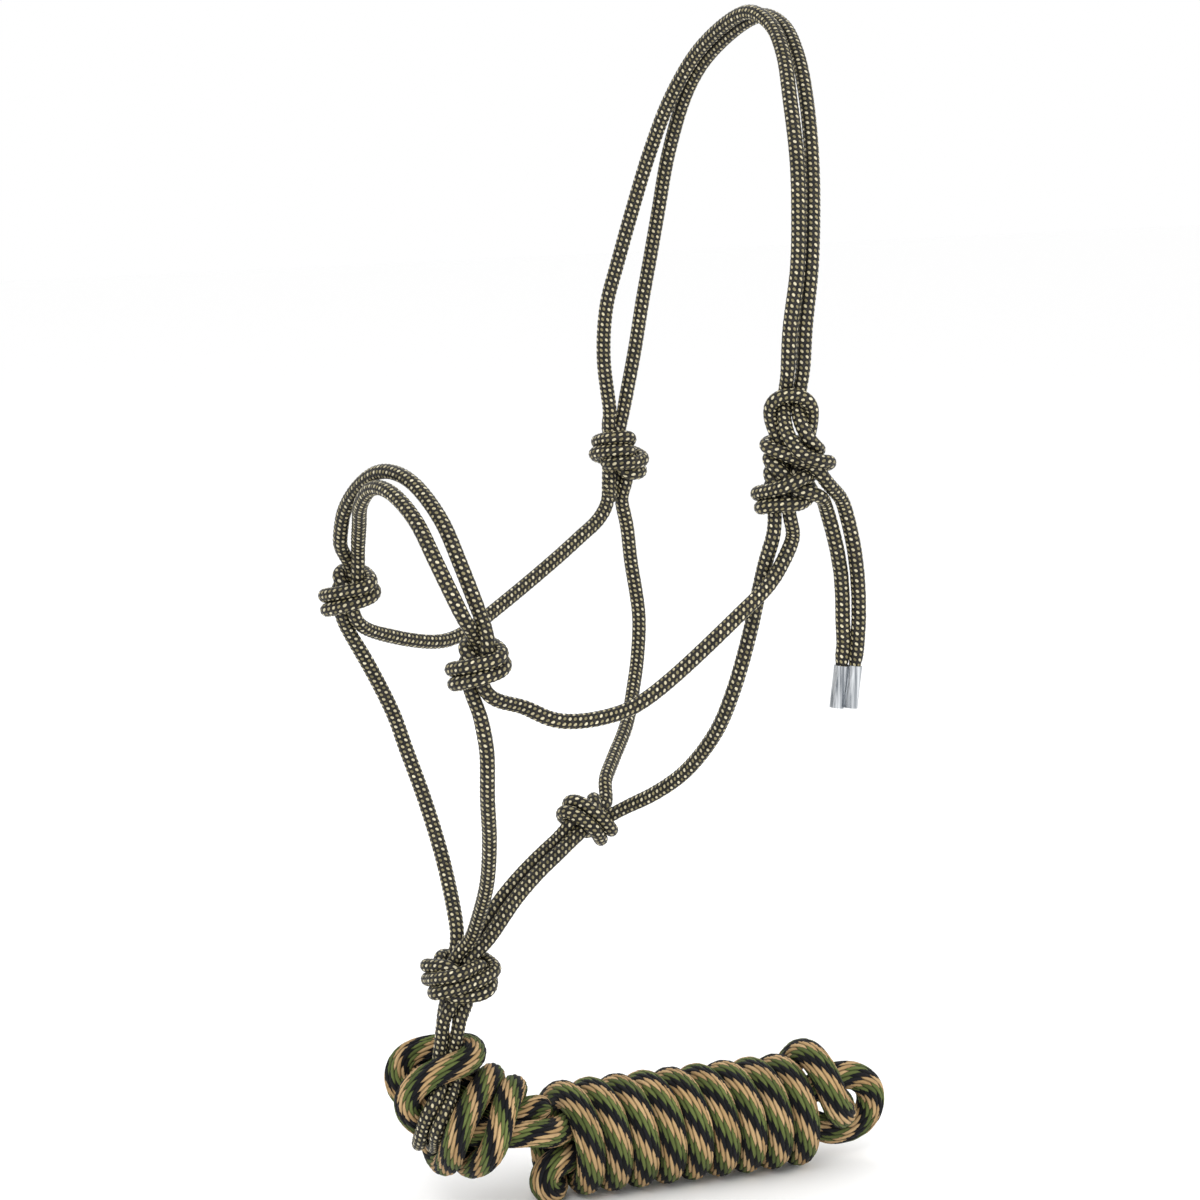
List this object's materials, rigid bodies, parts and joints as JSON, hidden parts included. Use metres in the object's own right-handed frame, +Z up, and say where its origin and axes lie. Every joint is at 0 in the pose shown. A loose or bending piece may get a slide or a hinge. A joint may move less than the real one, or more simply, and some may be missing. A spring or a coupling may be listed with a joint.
{
  "type": "rope halter",
  "caption": "Knotted rope halter for a horse, held in the shape it takes on the head, with a thick lead rope looped on below the chin and wound into a hank.",
  "frame": {"origin": "on the crown ropes' centre line, where the halter hangs on the poll behind the ears", "axes": "+X back along the horse's neck, +Y to its off (right) side, +Z up; the nose band is at -X"},
  "size_m": [0.3131, 0.2306, 0.6675],
  "materials": {
    "halter_rope": "satin",
    "lead_rope": "matte",
    "ferrule": "satin"
  },
  "bodies": {
    "halter": {"crown_rope_back": "halter_rope", "crown_rope_front": "halter_rope", "eye_loop": "halter_rope", "fiador_knot_strand_1": "halter_rope", "fiador_knot_strand_2": "halter_rope", "fiador_knot_strand_3": "halter_rope", "fiador_knot_strand_4": "halter_rope", "near_cheek_knot_cheek_strand": "halter_rope", "near_cheek_knot_throat_strand": "halter_rope", "near_cheek_rope": "halter_rope", "near_chin_rope": "halter_rope", "near_nose_knot_inner_strand": "halter_rope", "near_nose_knot_outer_strand": "halter_rope", "near_throat_rope": "halter_rope", "nose_band_rope_inner": "halter_rope", "nose_band_rope_outer": "halter_rope", "off_cheek_knot_back_strand": "halter_rope", "off_cheek_knot_front_strand": "halter_rope", "off_cheek_rope": "halter_rope", "off_chin_rope": "halter_rope", "off_nose_knot_inner_strand": "halter_rope", "off_nose_knot_outer_strand": "halter_rope", "off_throat_rope": "halter_rope", "throat_knot_near_strand": "halter_rope", "throat_knot_off_strand": "halter_rope", "throat_to_fiador_rope_near": "halter_rope", "throat_to_fiador_rope_off": "halter_rope", "tie_strand_back": "halter_rope", "tie_strand_front": "halter_rope"},
    "tails": {"tail_ferrule": "ferrule", "tail_rope_near": "halter_rope", "tail_rope_off": "halter_rope"},
    "lead_loops": {"lead_loop_near": "halter_rope", "lead_loop_off": "halter_rope"},
    "lead": {"hank_far_bight": "lead_rope", "hank_near_bight": "lead_rope", "lead_eye": "lead_rope", "lead_hank": "lead_rope", "lead_knot_back_strand": "lead_rope", "lead_knot_front_strand": "lead_rope", "lead_neck": "lead_rope", "lead_rope_end": "lead_rope"}
  },
  "joints": [
    {"name": "tail_swing", "type": "hinge", "parent": "halter", "child": "tails", "pos_m": [-0.017, -0.1045, -0.263], "axis": [0, 1, 0], "range_deg": [-40, 15], "deforming": ["tail_rope_near", "tail_rope_off"]},
    {"name": "lead_turn", "type": "hinge", "parent": "halter", "child": "lead_loops", "pos_m": [-0.2, 0, -0.553], "axis": [0, 0, 1], "range_deg": [-60, 60]},
    {"name": "lead_swing", "type": "hinge", "parent": "lead_loops", "child": "lead", "pos_m": [-0.2, 0, -0.553], "axis": [0, 1, 0], "range_deg": [-45, 0], "deforming": ["lead_loop_near", "lead_loop_off"]}
  ]
}
